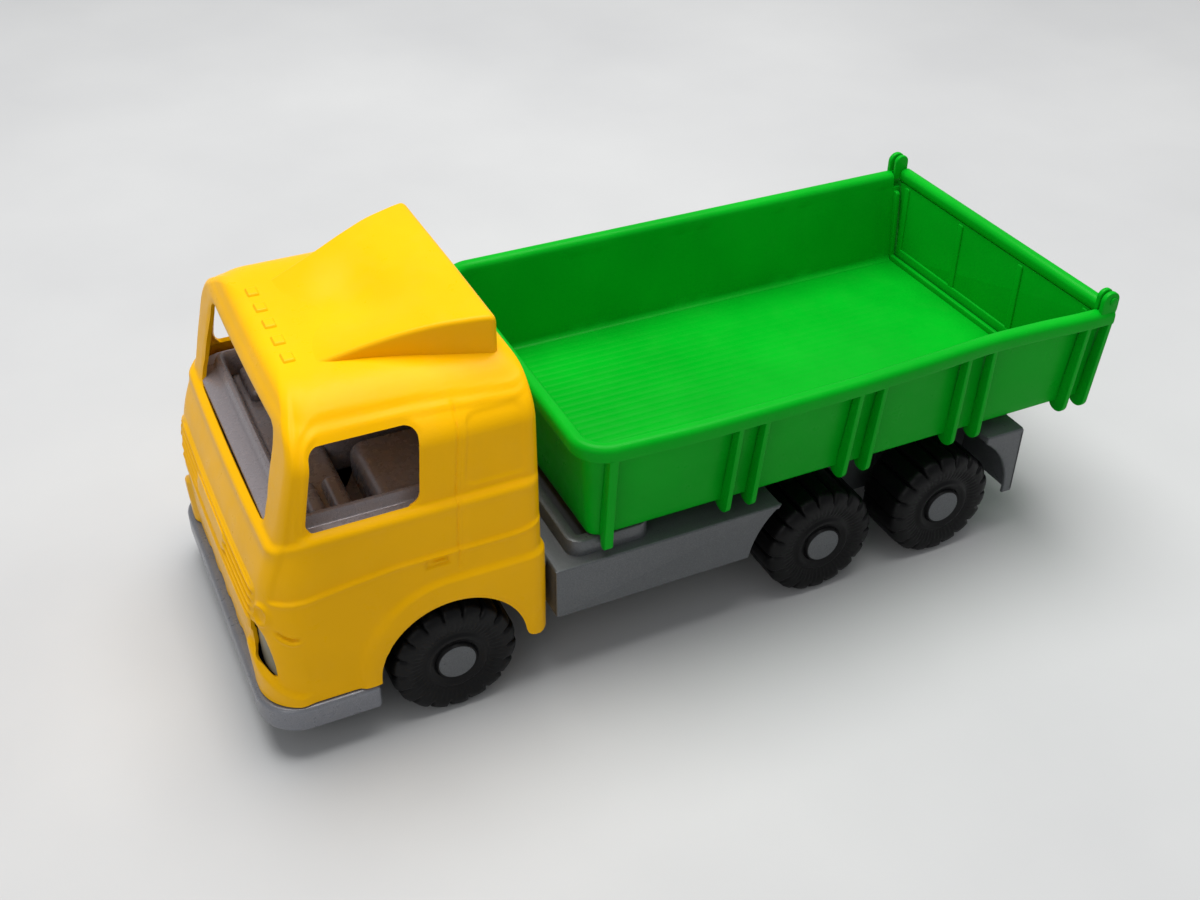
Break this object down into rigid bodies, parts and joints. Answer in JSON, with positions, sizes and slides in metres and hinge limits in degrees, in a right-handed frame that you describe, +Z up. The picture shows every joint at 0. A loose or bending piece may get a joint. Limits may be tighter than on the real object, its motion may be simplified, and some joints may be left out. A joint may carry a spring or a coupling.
{
  "type": "toy tipper lorry",
  "caption": "Plastic toy tipper lorry: cab with open windows, tipping bed, top-hinged tailgate, paired wheels on steel axles and a pull-back spring motor on the rear axle.",
  "frame": {"origin": "on the ground under the middle of the lorry's outer box", "axes": "+Z up, the nose faces -Y, the lorry's left side is +X"},
  "size_m": [0.224, 0.536, 0.2255],
  "materials": {
    "yellow_plastic": "glossy moulded plastic, worn",
    "green_plastic": "glossy moulded plastic, worn",
    "silver_plastic": "silver-pigmented moulded plastic",
    "grey_plastic": "silver-pigmented moulded plastic",
    "headlight_grey": "grey moulded plastic",
    "black_plastic": "black moulded plastic, scuffed",
    "nylon": "natural nylon",
    "case_plastic": "dark moulded plastic",
    "steel": "drawn steel",
    "spring_steel": "blued spring strip"
  },
  "bodies": {
    "chassis": {"chassis_frame": "silver_plastic", "cab_shell": "yellow_plastic", "cab_interior": "grey_plastic", "headlight_left": "headlight_grey", "headlight_right": "headlight_grey", "cab_screws": "steel", "motor_mount_screws": "steel", "bed_hinge_pin": "steel", "motor_case_left": "case_plastic", "motor_case_right": "case_plastic", "motor_case_screws": "steel", "drum_arbor": "steel", "transfer_arbor": "steel"},
    "bed": {"bed_body": "green_plastic"},
    "tailgate": {"tailgate": "green_plastic"},
    "front_wheelset": {"front_axle": "steel", "front_wheel_left": "black_plastic", "front_hub_cap_left": "silver_plastic", "front_wheel_right": "black_plastic", "front_hub_cap_right": "silver_plastic"},
    "middle_wheelset": {"middle_axle": "steel", "middle_wheel_left": "black_plastic", "middle_hub_cap_left": "silver_plastic", "middle_wheel_right": "black_plastic", "middle_hub_cap_right": "silver_plastic"},
    "rear_wheelset": {"rear_axle": "steel", "rear_wheel_left": "black_plastic", "rear_hub_cap_left": "silver_plastic", "rear_wheel_right": "black_plastic", "rear_hub_cap_right": "silver_plastic", "axle_pinion": "nylon"},
    "transfer": {"transfer_gear": "nylon"},
    "drum": {"spring_drum_gear": "nylon", "mainspring": "spring_steel"}
  },
  "joints": [
    {"name": "bed_tip", "type": "hinge", "parent": "chassis", "child": "bed", "pos_m": [0, 0.206, 0.0735], "axis": [-1, 0, 0], "range_deg": [0, 50]},
    {"name": "tailgate_swing", "type": "hinge", "parent": "bed", "child": "tailgate", "pos_m": [0, 0.2585, 0.1634], "axis": [1, 0, 0], "range_deg": [0, 100]},
    {"name": "front_axle_spin", "type": "hinge", "parent": "chassis", "child": "front_wheelset", "pos_m": [0, -0.162, 0.0365], "axis": [1, 0, 0], "continuous": true},
    {"name": "middle_axle_spin", "type": "hinge", "parent": "chassis", "child": "middle_wheelset", "pos_m": [0, 0.073, 0.0365], "axis": [1, 0, 0], "continuous": true},
    {"name": "rear_axle_spin", "type": "hinge", "parent": "chassis", "child": "rear_wheelset", "pos_m": [0, 0.1615, 0.0365], "axis": [1, 0, 0], "continuous": true},
    {"name": "transfer_spin", "type": "hinge", "parent": "chassis", "child": "transfer", "pos_m": [0, 0.14145, 0.04585], "axis": [1, 0, 0], "continuous": true},
    {"name": "drum_spin", "type": "hinge", "parent": "chassis", "child": "drum", "pos_m": [0, 0.11742, 0.04795], "axis": [1, 0, 0], "continuous": true}
  ],
  "couplings": [
    {"joint": "transfer_spin", "follows": "rear_axle_spin", "ratio": -0.375},
    {"joint": "drum_spin", "follows": "rear_axle_spin", "ratio": 0.125}
  ]
}
